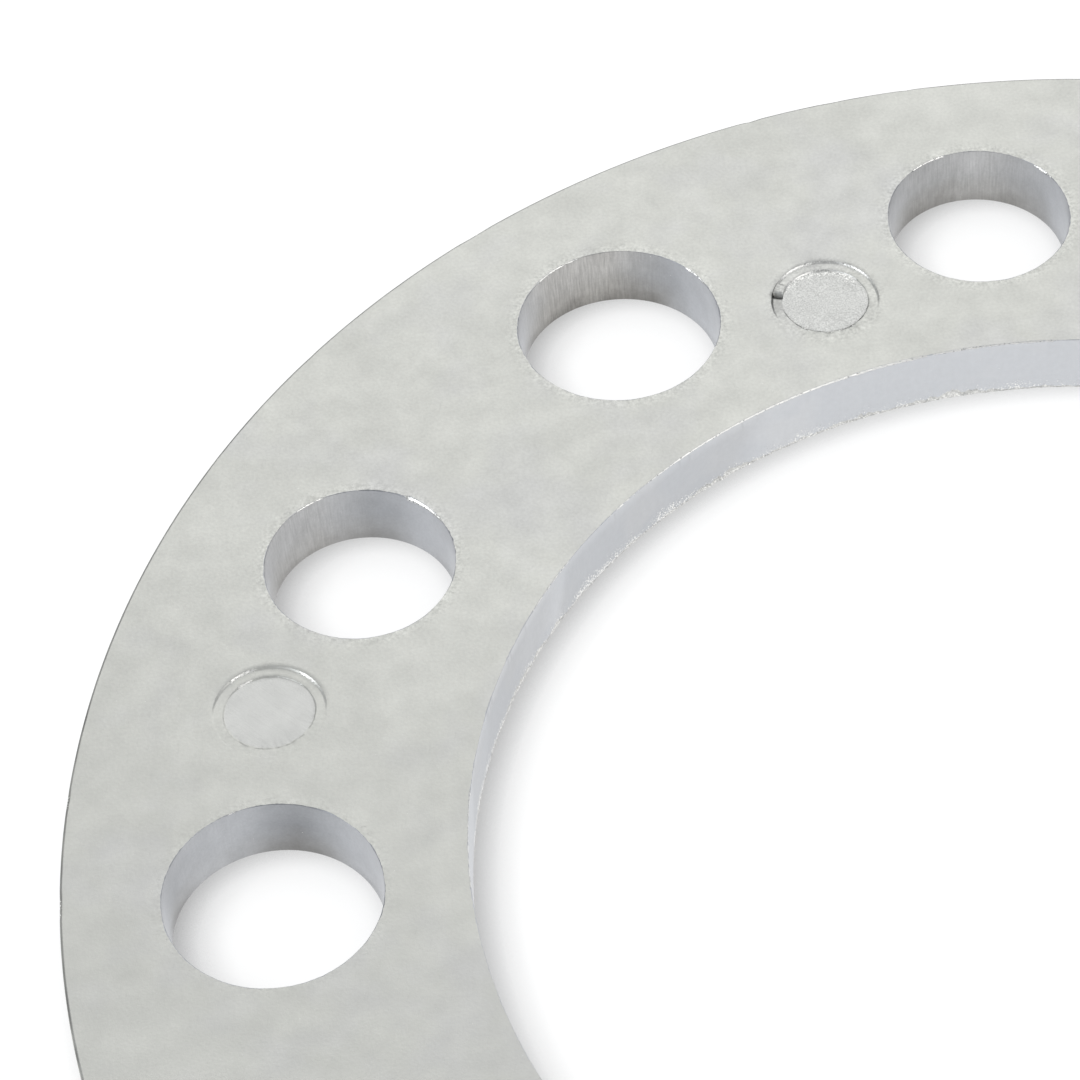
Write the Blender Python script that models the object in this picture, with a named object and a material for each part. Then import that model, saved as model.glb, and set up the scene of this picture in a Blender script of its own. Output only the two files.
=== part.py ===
"""Wheel spacer: one die-cast aluminium ring with two stud holes for each stud of a hub.

Units are metres. The ring lies flat, its foot on z = 0 and its axis on Z. The side that the
ejector pins pushed on faces up.
"""

import math

import bmesh
import bpy
from mathutils import Matrix, Vector

# Stud holes: a small and a large one for each stud, so that the ring fits two sizes of stud
STUD_COUNT = 6
STUD_CIRCLE = 0.1397               # five and a half inches
FIRST_STUD = math.radians(90)      # angle of the first small hole
SMALL_HOLE = 0.0170                # diameters at the top face
LARGE_HOLE = 0.0187
HOLE_DRAFT = math.radians(2)       # the cores were pulled out upwards
HOLE_WEAR = 0.0002

# The ring: the metal left inside and outside the large holes sets its bore and its rim
BORE_LAND = 0.00715                # gives a bore of 106.7 mm, to clear a hub of about 106 mm
RIM_LAND = 0.00855                 # gives an outer diameter of 175.5 mm
THICKNESS = 0.00635                # a quarter of an inch
WALL_DRAFT = math.radians(0.5)     # slope of the rim and of the bore wall
EDGE_WEAR = 0.0003                 # rounding of the rim and of the bore, from tumbling

BORE_DIAMETER = STUD_CIRCLE - LARGE_HOLE - 2 * BORE_LAND    # at the top face
OUTER_DIAMETER = STUD_CIRCLE + LARGE_HOLE + 2 * RIM_LAND    # at the foot, where the die parted

# The lip left at the foot of the bore, where the web that fed the casting was punched out
LIP_HEIGHT = 0.0006
LIP_DEPTH = 0.00025
LIP_RAGGEDNESS = 0.35              # how far the torn edge strays, as a share of its height
LIP_WAVES = (13, 31)               # tears around the bore, long ones and short ones

# Marks of the ejector pins: a shallow recess with the face of the pin set lower inside it
PIN_DIAMETER = 0.0080
PIN_STEP = 0.00012                 # from the recess's floor down to the pin's face
RECESS_WIDTH = 0.0010              # of the floor and wall around the pin
RECESS_DEPTH = 0.00018
RECESS_SLOPE = math.radians(60)    # of the recess's wall
PIN_BEHIND_BORE = 0.00965          # every second pin stands this far out from the bore
PIN_INSIDE_RIM = 0.01585           # and the others this far in from the rim
PIN_OFF_MIDDLE = math.radians(0.6)  # from the middle between its two holes

# A flake of flash that still bridges the recess of the first mark
FLAKE_ANGLE = math.radians(153)    # where it lies around the pin
FLAKE_WIDTH = 0.0009
FLAKE_DROP = 0.00006               # its top below the face
FLAKE_ROOT = 0.00015               # how far it reaches into the metal around it

# Fineness of the round forms
RING_SEGMENTS = 120
HOLE_SEGMENTS = 36
PIN_SEGMENTS = 28
WELD = 0.000001
CUT_MARGIN = 0.001                 # how far a cutter reaches past the face that it enters
SMOOTH_UNDER = math.radians(20)

ALUMINIUM_COLOUR = (0.72, 0.72, 0.70, 1.0)
ALUMINIUM_ROUGHNESS = 0.45


def clear_scene():
    """Take away whatever the scene holds."""
    for thing in list(bpy.data.objects):
        bpy.data.objects.remove(thing, do_unlink=True)


def cast_aluminium():
    """The matt grey skin of a tumbled casting."""
    material = bpy.data.materials.new("cast_aluminium")
    material.use_nodes = True
    surface = material.node_tree.nodes["Principled BSDF"]
    surface.inputs["Base Color"].default_value = ALUMINIUM_COLOUR
    surface.inputs["Metallic"].default_value = 1.0
    surface.inputs["Roughness"].default_value = ALUMINIUM_ROUGHNESS
    return material


def add_object(name, shape):
    """Put a bmesh into the scene as an object."""
    mesh = bpy.data.meshes.new(name)
    shape.to_mesh(mesh)
    shape.free()
    thing = bpy.data.objects.new(name, mesh)
    bpy.context.collection.objects.link(thing)
    return thing


def turn(shape, outline, segments, closed):
    """Spin an outline of (radius, height) points about Z into a closed skin, and return its points."""
    points = [shape.verts.new((radius, 0, height)) for radius, height in outline]
    edges = [shape.edges.new(pair) for pair in zip(points, points[1:])]
    if closed:
        edges.append(shape.edges.new((points[-1], points[0])))
    before = set(shape.verts) - set(points)
    bmesh.ops.spin(shape, geom=points + edges, cent=(0, 0, 0), axis=(0, 0, 1),
                   angle=math.tau, steps=segments, use_merge=True)
    skin = [vert for vert in shape.verts if vert not in before]
    bmesh.ops.remove_doubles(shape, verts=skin, dist=WELD)
    skin = [vert for vert in shape.verts if vert not in before]
    faces = {face for vert in skin for face in vert.link_faces}
    bmesh.ops.recalc_face_normals(shape, faces=list(faces))
    return skin


def worn_corner(radius, height, out, up, wear):
    """Three points that round a corner, from its wall to its face.

    out is +1 where the metal lies at a larger radius than the wall, and -1 where it lies inside.
    up is +1 at a top face and -1 at a bottom face.
    """
    return [(radius, height - up * wear),
            (radius + out * 0.3 * wear, height - up * 0.3 * wear),
            (radius + out * wear, height)]


def ring_outline():
    """Section through the ring: bore wall, top face, rim and foot."""
    slope = math.tan(WALL_DRAFT)
    bore_top = BORE_DIAMETER / 2
    bore_foot = bore_top - THICKNESS * slope
    rim_foot = OUTER_DIAMETER / 2
    rim_top = rim_foot - THICKNESS * slope
    lip = [(bore_foot + LIP_DEPTH, 0), (bore_foot + LIP_HEIGHT * slope, LIP_HEIGHT)]
    bore_edge = worn_corner(bore_top, THICKNESS, 1, 1, EDGE_WEAR)
    rim_edge = worn_corner(rim_top, THICKNESS, -1, 1, EDGE_WEAR)
    foot_edge = worn_corner(rim_foot, 0, -1, -1, EDGE_WEAR)
    return lip + bore_edge + rim_edge[::-1] + foot_edge


def tear_lip(skin):
    """Let the upper edge of the lip stray up and down around the bore, as torn metal does."""
    long_waves, short_waves = LIP_WAVES
    for vert in skin:
        if abs(vert.co.z - LIP_HEIGHT) < WELD and vert.co.xy.length < BORE_DIAMETER / 2:
            around = math.atan2(vert.co.y, vert.co.x)
            stray = 0.6 * math.sin(long_waves * around) + 0.4 * math.sin(short_waves * around + 1)
            vert.co.z += LIP_RAGGEDNESS * LIP_HEIGHT * stray


def blank_ring():
    """The ring before its holes."""
    shape = bmesh.new()
    skin = turn(shape, ring_outline(), RING_SEGMENTS, closed=True)
    tear_lip(skin)
    return add_object("spacer_ring", shape)


def past_face(corner, up):
    """Lengthen a cutter's flared corner through the face that it meets."""
    (near_radius, near_height), (radius, height) = corner[-2:]
    flared = (2 * radius - near_radius, 2 * height - near_height)
    return [flared, (flared[0], height + up * CUT_MARGIN), (0, height + up * CUT_MARGIN)]


def hole_outline(diameter):
    """Half section of a stud hole: drafted, with both edges rounded, reaching past both faces."""
    top = diameter / 2
    foot = top - THICKNESS * math.tan(HOLE_DRAFT)
    top_edge = worn_corner(top, THICKNESS, 1, 1, HOLE_WEAR)
    foot_edge = worn_corner(foot, 0, 1, -1, HOLE_WEAR)
    lower = foot_edge[:2] + past_face(foot_edge, -1)
    upper = top_edge[:2] + past_face(top_edge, 1)
    return lower[::-1] + upper


def mark_outline():
    """Half section of a pin mark: the pin's face, the step around it and the recess's sloping wall."""
    pin = PIN_DIAMETER / 2
    recess = pin + RECESS_WIDTH
    recess_floor = THICKNESS - RECESS_DEPTH
    pin_face = recess_floor - PIN_STEP
    wall = [(recess - RECESS_DEPTH / math.tan(RECESS_SLOPE), recess_floor), (recess, THICKNESS)]
    return [(0, pin_face), (pin, pin_face), (pin, recess_floor), wall[0]] + past_face(wall, 1)


def on_circle(radius, angle):
    """Place at a radius and an angle about the ring's axis."""
    return Vector((radius * math.cos(angle), radius * math.sin(angle), 0))


def stud_holes():
    """Place and diameter of each stud hole, small and large by turns."""
    half_pitch = math.pi / STUD_COUNT
    for index in range(2 * STUD_COUNT):
        diameter = LARGE_HOLE if index % 2 else SMALL_HOLE
        yield on_circle(STUD_CIRCLE / 2, FIRST_STUD + index * half_pitch), diameter


def pin_marks():
    """Place of each ejector pin: one after every small hole, near the bore and near the rim by turns."""
    near_bore = BORE_DIAMETER / 2 + PIN_BEHIND_BORE
    near_rim = OUTER_DIAMETER / 2 - PIN_INSIDE_RIM
    pitch = math.tau / STUD_COUNT
    for index in range(STUD_COUNT):
        radius = near_rim if index % 2 else near_bore
        yield on_circle(radius, FIRST_STUD + pitch / 4 - PIN_OFF_MIDDLE + index * pitch)


def hole_cutter():
    """All the stud holes as one cutter."""
    shape = bmesh.new()
    for place, diameter in stud_holes():
        plug = turn(shape, hole_outline(diameter), HOLE_SEGMENTS, closed=False)
        bmesh.ops.translate(shape, verts=plug, vec=place)
    return add_object("stud_hole_cutter", shape)


def mark_cutter():
    """All the pin marks as one cutter."""
    shape = bmesh.new()
    for place in pin_marks():
        stamp = turn(shape, mark_outline(), PIN_SEGMENTS, closed=False)
        bmesh.ops.translate(shape, verts=stamp, vec=place)
    return add_object("pin_mark_cutter", shape)


def flash_flake():
    """The flake in the first mark: a small slab across its recess, sunk into the wall and the pin."""
    top = THICKNESS - FLAKE_DROP
    foot = THICKNESS - RECESS_DEPTH - PIN_STEP - FLAKE_ROOT
    size = Vector((RECESS_WIDTH + 2 * FLAKE_ROOT, FLAKE_WIDTH, top - foot))
    middle = Vector(((PIN_DIAMETER + RECESS_WIDTH) / 2, 0, (top + foot) / 2))
    shape = bmesh.new()
    bmesh.ops.create_cube(shape, size=1, matrix=Matrix.Translation(middle) @ Matrix.Diagonal((*size, 1)))
    bmesh.ops.rotate(shape, verts=shape.verts, matrix=Matrix.Rotation(FLAKE_ANGLE, 3, "Z"))
    bmesh.ops.translate(shape, verts=shape.verts, vec=next(pin_marks()))
    return add_object("flash_flake", shape)


def combine(target, tool, operation):
    """Cut a tool out of the target, or join it on, and take the tool away."""
    boolean = target.modifiers.new(tool.name, "BOOLEAN")
    boolean.operation = operation
    boolean.object = tool
    boolean.solver = "EXACT"
    with bpy.context.temp_override(object=target, active_object=target):
        bpy.ops.object.modifier_apply(modifier=boolean.name)
    bpy.data.objects.remove(tool, do_unlink=True)


def build_spacer():
    """Cast the ring, core its holes and stamp its marks."""
    ring = blank_ring()
    combine(ring, hole_cutter(), "DIFFERENCE")
    combine(ring, mark_cutter(), "DIFFERENCE")
    combine(ring, flash_flake(), "UNION")
    ring.data.shade_smooth()
    ring.data.set_sharp_from_angle(angle=SMOOTH_UNDER)
    ring.data.materials.append(cast_aluminium())
    return ring


clear_scene()
build_spacer()
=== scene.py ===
# %% [markdown]
# # A die-cast wheel spacer
#
# A wheel spacer is a flat ring that sits between a wheel and its hub. This one is a single
# aluminium casting. Liquid metal was shot into a steel die, steel cores left the stud holes open,
# and ejector pins pushed the ring out, which left round marks on its upper face. The web that
# fed the metal in was then punched out of the middle.
#
# The solid comes first. It fixes every size, and the finished ring is modelled around it.

# %% Load the measured solid
import math
import random

import bmesh
import bpy
from mathutils import Matrix, Vector, noise


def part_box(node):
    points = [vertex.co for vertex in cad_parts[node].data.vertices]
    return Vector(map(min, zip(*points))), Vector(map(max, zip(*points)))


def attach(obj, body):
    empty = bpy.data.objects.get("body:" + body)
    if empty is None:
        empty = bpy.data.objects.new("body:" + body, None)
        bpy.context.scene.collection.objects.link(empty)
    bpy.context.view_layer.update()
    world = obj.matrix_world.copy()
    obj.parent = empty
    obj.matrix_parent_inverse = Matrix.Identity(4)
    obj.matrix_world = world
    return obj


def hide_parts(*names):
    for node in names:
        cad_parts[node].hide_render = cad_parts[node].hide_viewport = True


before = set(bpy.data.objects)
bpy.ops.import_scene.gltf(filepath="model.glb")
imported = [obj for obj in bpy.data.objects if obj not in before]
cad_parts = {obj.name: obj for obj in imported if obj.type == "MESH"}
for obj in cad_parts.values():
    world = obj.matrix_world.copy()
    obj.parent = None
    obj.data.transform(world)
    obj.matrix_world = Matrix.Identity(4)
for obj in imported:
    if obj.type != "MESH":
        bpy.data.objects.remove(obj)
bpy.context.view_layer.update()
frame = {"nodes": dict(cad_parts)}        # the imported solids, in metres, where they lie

print("solids:", ", ".join(frame["nodes"]))

# %% Read the main sizes off the solid, in millimetres
MM = 0.001
HAIR = 0.0005        # keeps the finished ring just inside the solid's box
foot_corner, top_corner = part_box("spacer_ring")
FOOT = foot_corner.z / MM
TOP = top_corner.z / MM - HAIR
RIM = top_corner.x / MM - HAIR
THICKNESS = TOP - FOOT
BORE = min(point.co.xy.length for point in frame["nodes"]["spacer_ring"].data.vertices) / MM
print(f"ring {2 * RIM:.2f} mm across, {THICKNESS:.2f} mm thick, bore {2 * BORE:.2f} mm")

# %% [markdown]
# ## Where the stud holes and the pin marks are
#
# Twelve holes stand on one circle, a small one and a large one by turns, so that six studs go
# through either set. A die maker sets them out by radius and angle, and so does this cell. Each
# second gap between holes has the mark of one ejector pin, near the bore and near the rim by turns.

# %% Set out the holes and the marks
STUD_CIRCLE = 69.85
HOLE_COUNT = 12
HOLE_RADII = (8.5, 9.35)                  # small and large, at the upper face
FIRST_HOLE = math.radians(90)
HOLE_PITCH = math.radians(30)
MARK_COUNT = 6
MARK_CIRCLES = (BORE + 9.7, RIM - 15.85)  # near the bore and near the rim
MARK_LEAD = math.radians(14.4)            # from a small hole to the mark that follows it


def on_circle(radius, angle):
    """Place on the foot plane at a radius and an angle about the ring's axis."""
    return Vector((radius * math.cos(angle), radius * math.sin(angle), 0))


holes = [(on_circle(STUD_CIRCLE, FIRST_HOLE + index * HOLE_PITCH), HOLE_RADII[index % 2])
         for index in range(HOLE_COUNT)]
marks = [on_circle(MARK_CIRCLES[index % 2], FIRST_HOLE + 2 * index * HOLE_PITCH + MARK_LEAD)
         for index in range(MARK_COUNT)]
print(f"{len(holes)} stud holes, {len(marks)} pin marks")

# %% [markdown]
# ## One skin from turned bands
#
# Every form on this casting is round: the rim, the bore, the holes and the marks. One way is to
# turn the blank and cut the holes with Booleans, which leaves slivers in the flat faces. Here each
# wall is a band instead, a short section spun round its own axis. The flat faces are filled in
# between the bands at the end, so all edges meet point to point and the skin is closed.
#
# The ring is drawn in millimetres and brought to metres when it is finished: the tool that fills
# the flat faces loses track of edges that are less than about 0.1 units long. A fine spin is
# slow, so one sector of each band is spun and then repeated all round.
#
# Each point carries three values that the finishes read later: how fresh the metal is, which on the
# marks also paints their highlights, how far a core or a pin roughed it, and how dark it is painted:
# painted shade on the hole walls, the rim's edge and the marks, and a dark tone on the bore. They are
# 0 on every loop that lies in the plane of the upper face, because the large triangles there would
# smear them over the face.
# On the foot, which is hidden while the ring lies on it, the torn lip's lowest loop keeps its value.

# %% Start a skin
FINISHES = ["tumbled_skin", "cored_wall", "sheared_bore", "torn_lip", "pin_face"]
POINT_VALUES = ["fresh_metal_and_sheen", "roughed", "painted_shade_and_tone"]


def new_skin():
    """An empty skin whose points can hold the values that the finishes read."""
    empty = bmesh.new()
    for name in POINT_VALUES:
        empty.verts.layers.float.new(name)
    return empty


def point_values(band):
    """The layers of a band that hold the three values."""
    return [band.verts.layers.float[name] for name in POINT_VALUES]


print(f"{len(FINISHES)} finishes, {len(POINT_VALUES)} values for each point")


# %% Spin one band
AXIS = Vector((0, 0, 0))
SECTORS = 12
WELD = 0.005


def turn_band(section, steps, finish):
    """Spin a section of (radius, height) points about the upright axis into an open band."""
    part = new_skin()
    start = [part.verts.new((radius, 0, height)) for radius, height in section]
    edges = [part.edges.new(pair) for pair in zip(start, start[1:])]
    bmesh.ops.spin(part, geom=start + edges, cent=AXIS, axis=(0, 0, 1),
                   angle=math.tau / SECTORS, steps=steps // SECTORS)
    for face in part.faces:
        face.smooth = True
        face.material_index = FINISHES.index(finish)
    sector = bpy.data.meshes.new("sector")
    part.to_mesh(sector)
    part.free()
    band = bmesh.new()
    next_sector = Matrix.Rotation(math.tau / SECTORS, 3, "Z")
    for _ in range(SECTORS):
        bmesh.ops.rotate(band, verts=band.verts, cent=AXIS, matrix=next_sector)
        band.from_mesh(sector)
    bmesh.ops.remove_doubles(band, verts=band.verts, dist=WELD)
    bpy.data.meshes.remove(sector)
    return band


def join_band(shape, band, centre):
    """Put a finished band into the skin, with its axis at a centre."""
    bmesh.ops.translate(band, verts=band.verts, vec=centre)
    holder = bpy.data.meshes.new("band")
    band.to_mesh(holder)
    band.free()
    shape.from_mesh(holder)
    bpy.data.meshes.remove(holder)


shape = new_skin()
print(f"each band is spun as one of {SECTORS} sectors")

# %% [markdown]
# ## Worn and broken edges
#
# An edge on a real casting is never a perfect quarter circle. Tumbling rounds it, and the core
# that leaves the hole breaks it, so its width changes from place to place. Light catches the wide
# spots. A bevel modifier would make one even width all round. So the section has a quarter circle
# of an average width, and each of its points is then moved by a width that noise and a list of
# burrs give for that place. A wide burr also turns the curve into a chipped flat, and it is
# written into the points as fresh metal, where the finish finds it.

# %% Draw a rounded corner in a section
def rounded(wall, face, width, outward, upward, steps):
    """Points of a quarter circle, from its wall to its face."""
    points = []
    for step in range(steps + 1):
        turn = math.radians(90) * step / steps
        points.append((wall + outward * width * (1 - math.cos(turn)),
                       face - upward * width * (1 - math.sin(turn))))
    return points


def bearing(point):
    """Angle of a point about the upright axis, in degrees from 0 to 360."""
    return math.degrees(math.atan2(point.y, point.x)) % 360


def apart(first, second):
    """How many degrees lie between two bearings, the short way round."""
    return abs((first - second + 180) % 360 - 180)


print("a corner of 1 mm:", [(round(x, 2), round(y, 2)) for x, y in rounded(0, 0, 1, 1, 1, 2)])


# %% Let an edge vary
FINE = 2.6               # noise cells per millimetre, for ripples of about 0.4 mm
COARSE = 0.42            # for ripples of about 2.4 mm
FULL_BURR = 0.07         # a burr of this width has made its edge as flat as it gets
FLATTENING = 0.8         # how much of the curve such a burr takes away
CHIPPING = 0.12          # how far chips stray, as a share of the edge's width
FRESH_ON_FLAT = 1.15     # how fresh the metal is where the edge is flat


def burr_width(burrs, degrees, place):
    """Width of a burr at a place round the edge, broken by noise and tapering at its ends."""
    for start, end, first, last, roughness in burrs:
        if start <= degrees <= end:
            taper = min(1, (degrees - start) / 2 + 0.1, (end - degrees) / 2 + 0.1)
            width = first + (last - first) * (degrees - start) / (end - start)
            breaks = noise.noise(place * FINE * 0.6) + noise.noise(place * FINE * 1.7)
            return taper * width * max(0.05, 1 + 1.3 * roughness * breaks)
    return 0.0


def wear_top_edge(band, centre, wall, width, burrs):
    """Widen and narrow the rounded top edge of a band whose metal lies outside its wall."""
    fresh_and_sheen, _, _ = point_values(band)
    for vert in band.verts:
        below = (TOP - vert.co.z) / width
        if below > 2.01:         # the edge and the first row of the wall under it, no more
            continue
        away = Vector((vert.co.x, vert.co.y, 0)).normalized()
        place = centre + away * wall
        ripple = 0.9 * noise.noise(place * COARSE) + 0.9 * noise.noise(place * FINE)
        burr = burr_width(burrs, bearing(away), place)
        local = max(width * max(0.2, 0.75 + ripple), burr)
        turn = math.asin(min(1, max(0, 1 - below)))
        straight = turn / math.radians(90)
        flat = min(1, burr / FULL_BURR) * FLATTENING
        across = (1 - math.cos(turn)) * (1 - flat) + straight * flat
        down = (1 - math.sin(turn)) * (1 - flat) + (1 - straight) * flat
        if 0 < straight < 0.99:
            across += CHIPPING * flat * noise.noise((place + vert.co) * FINE * 1.3)
        vert.co.xy = away.xy * (wall + max(0, across) * local)
        vert.co.z = TOP - (down + max(0, below - 1)) * local
        vert[fresh_and_sheen] = FRESH_ON_FLAT * flat if straight < 0.99 and below < 1.5 else 0


print(f"edges ripple every {1 / FINE:.1f} mm and every {1 / COARSE:.1f} mm")


# %% [markdown]
# ## The stud holes
#
# A steel core leaves each hole, and a core needs draft, or it won't come out: the hole narrows
# downwards by two degrees. The photograph gives four of these edges. The burrs on them are listed
# by angle around each hole, and the unseen holes get some of their own from a seeded generator.
# Each core also roughed one side of its hole as it dragged along it, and other stretches of the
# wall are painted darker as shade. Both are listed by angle too, and written into the points.

# %% List what the four seen holes show, in degrees and millimetres
seen_burrs = {      # from, to, width at each end, roughness
    0: [(103, 130, 0.09, 0.07, 0.4), (27, 44, 0.10, 0.10, 0.6)],
    1: [(108, 140, 0.09, 0.10, 0.7), (23, 44, 0.10, 0.09, 0.8)],
    2: [(108, 128, 0.10, 0.09, 0.5), (26, 58.5, 0.08, 0.27, 0.25)],
    3: [(106, 114, 0.04, 0.04, 1)],
}
seen_drags = {      # middle, reach, strength
    0: (100, 52, 0.60), 1: (111, 40, 1.0), 2: (135, 40, 0.6), 3: (130, 30, 0.15),
}
# painted shade on the walls of the seen holes, by angle
seen_shade = {      # middle, half width, darkness
    0: [(45, 45, 0.14), (125, 50, 0.12)],
    1: [(64, 30, 0.24)],
    2: [(78, 36, 0.24), (18, 36, 0.05)],
    3: [(76, 38, 0.36), (160, 28, 0.18), (20, 40, 0.06)],
}
draw = random.Random(11)
print(f"{sum(len(burrs) for burrs in seen_burrs.values())} burrs seen in {len(seen_burrs)} holes")


def unseen_burrs():
    """One to three burrs at places of their own."""
    burrs = []
    for _ in range(draw.randint(1, 3)):
        start = draw.uniform(0, 330)
        end = start + draw.uniform(8, 28)
        burrs.append((start, end, draw.uniform(0.05, 0.15), draw.uniform(0.05, 0.18), 1))
    return burrs


# %% Write the drag and the painted shade of a hole into its wall
def mark_wall(band, drag, shade_stretches):
    """Mark the side of a wall that its core dragged along, and the stretches painted darker as shade."""
    _, roughed, painted_shade_and_tone = point_values(band)
    drag_middle, reach, strength = drag
    for vert in band.verts:
        if not FOOT + 0.001 < vert.co.z < TOP - 0.001:
            continue
        degrees = bearing(vert.co)
        vert[roughed] = strength * max(0, min(1, 1.5 - apart(degrees, drag_middle) / reach))
        # each listed stretch paints the wall darker, as painted shade
        for shade_middle, half, darkness in shade_stretches:
            share = min(1, apart(degrees, shade_middle) / half)
            vert[painted_shade_and_tone] += darkness * (0.5 + 0.5 * math.cos(math.pi * share))


# %% Make the stud holes
HOLE_STEPS = 300
HOLE_DRAFT = math.tan(math.radians(2))
HOLE_EDGE = 0.08
for index, (centre, radius) in enumerate(holes):
    section = rounded(radius, TOP, HOLE_EDGE, 1, 1, 4)[::-1]
    section.append((radius, TOP - 2 * HOLE_EDGE))
    section += [(radius - THICKNESS * share * HOLE_DRAFT, TOP - THICKNESS * share)
                for share in (0.3, 0.65)]
    section += rounded(radius - THICKNESS * HOLE_DRAFT, FOOT, HOLE_EDGE, 1, -1, 2)
    band = turn_band(section, HOLE_STEPS, "cored_wall")
    # the unseen holes get stretches of painted shade drawn at random
    drawn_stretches = [(draw.uniform(0, 360), draw.uniform(30, 50), draw.uniform(0.1, 0.3))]
    drag = (draw.uniform(0, 360), 50, draw.uniform(0.2, 0.8))
    mark_wall(band, seen_drags.get(index, drag), seen_shade.get(index, drawn_stretches))
    wear_top_edge(band, centre, radius, HOLE_EDGE, seen_burrs.get(index) or unseen_burrs())
    join_band(shape, band, centre)
print(f"stud holes: {len(shape.faces)} faces")

# %% [markdown]
# ## The bore and its torn lip
#
# The bore was punched out after casting. The punch shears the wall smooth and then the last
# of the metal tears, which leaves a ragged, bright lip along the foot. The lip here is a few rows
# of points at the foot of the bore's section. Noise sets how high it climbs at each place, and
# moves its points a little. Its faces stay flat, so that they sparkle as broken metal does.

# %% Turn the bore
RING_STEPS = 1440
BORE_EDGE = 0.08
WALL_SLOPE = math.tan(math.radians(0.5))
BORE_TOP = BORE + THICKNESS * WALL_SLOPE
LIP_ROWS = 5
LIP_DEPTH = 0.10
LIP_FULL = 1.0       # height of the lip's rows before they are torn
bore_burrs = [(84, 98, 0.08, 0.10, 0.4), (97, 131, 0.135, 0.06, 0.25),
              (131, 136, 0.05, 0.06, 1), (141, 150, 0.05, 0.06, 1), (170, 182, 0.06, 0.08, 1),
              (238, 262, 0.08, 0.12, 1), (318, 341, 0.08, 0.10, 1), (30, 44, 0.10, 0.08, 1)]
lip = [(BORE + LIP_DEPTH * (1 - row / LIP_ROWS), FOOT + LIP_FULL * row / LIP_ROWS)
       for row in range(LIP_ROWS + 1)]
wall = [(BORE + height * WALL_SLOPE, FOOT + height) for height in (1.6, 3.4, 5.0)]
wall.append((BORE_TOP, TOP - 2 * BORE_EDGE))
bore_section = lip + wall + rounded(BORE_TOP, TOP, BORE_EDGE, 1, 1, 4)
bore_band = turn_band(bore_section, RING_STEPS, "sheared_bore")
for face in bore_band.faces:
    if all(vert.co.z < FOOT + LIP_FULL * 1.01 for vert in face.verts):
        face.material_index = FINISHES.index("torn_lip")
        face.smooth = False
wear_top_edge(bore_band, AXIS, BORE_TOP, BORE_EDGE, bore_burrs)
print(f"bore: {len(bore_band.faces)} faces")

# %% Say where the bore is dark and how high its lip climbs
bore_dark_stretches = [(117, 145.3, 0.10), (146, 172, 0.09), (152, 164, 0.04), (20, 48, 0.10),
              (236, 262, 0.08), (299, 318, 0.09)]      # from, to, darkness


def bore_darkness(degrees):
    """How dark the wall is painted at a place round the bore. Each stretch fades in and ends short."""
    return sum(darkness * min(1, max(0, min(degrees - start, (end - degrees) * 3) / 3))
               for start, end, darkness in bore_dark_stretches)


def lip_height(place):
    """How far the torn metal climbs the wall at a place round the bore."""
    long_tear = max(0, noise.noise(place * 0.095 + Vector((3.1, 0.7, 0))) * 2.2 - 0.1)
    short_tear = 0.5 + noise.noise(place * 0.7)
    height = (0.24 + 0.5 * long_tear) * (0.5 + short_tear) * (1 + 0.7 * noise.noise(place * FINE))
    return min(1.5, max(0.12, height))


print(f"lip at the back of the bore: {lip_height(on_circle(BORE, FIRST_HOLE)):.2f} mm high")


# %% Tear the lip
fresh_and_sheen, _, painted_shade_and_tone = point_values(bore_band)
for vert in bore_band.verts:
    height = vert.co.z - FOOT
    if 0.5 < height < THICKNESS - 0.2:
        vert[painted_shade_and_tone] = bore_darkness(bearing(vert.co) + 0.4 * height)
    if height > LIP_FULL * 1.01:
        continue
    place = Vector((vert.co.x, vert.co.y, 0)).normalized() * BORE
    share = min(1, height / LIP_FULL)
    jag = noise.noise(Vector((place.x, place.y, share * 2)) * FINE)
    depth = LIP_DEPTH * (0.5 + 1.6 * jag) if share < 1 else 0
    climb = 0.05 * jag if 0 < share < 1 else 0
    vert.co.xy = place.xy.normalized() * (BORE + max(0, depth))
    vert.co.z = max(FOOT, FOOT + share * lip_height(place) + climb)
    vert[fresh_and_sheen] = 0.57 - 0.27 * share
join_band(shape, bore_band, AXIS)
print(f"with the bore: {len(shape.faces)} faces")

# %% [markdown]
# ## The rim
#
# The rim is the plain wall of the die, with a little draft. Its edges are rounded, and handling has
# left a few small nicks in the upper one, each a short stretch where the edge is knocked back.
# Two of them show in the photograph, and noise places the others. The rounding is painted darker
# as a dark reflection, which gives the rim its thin grey outline.

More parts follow.
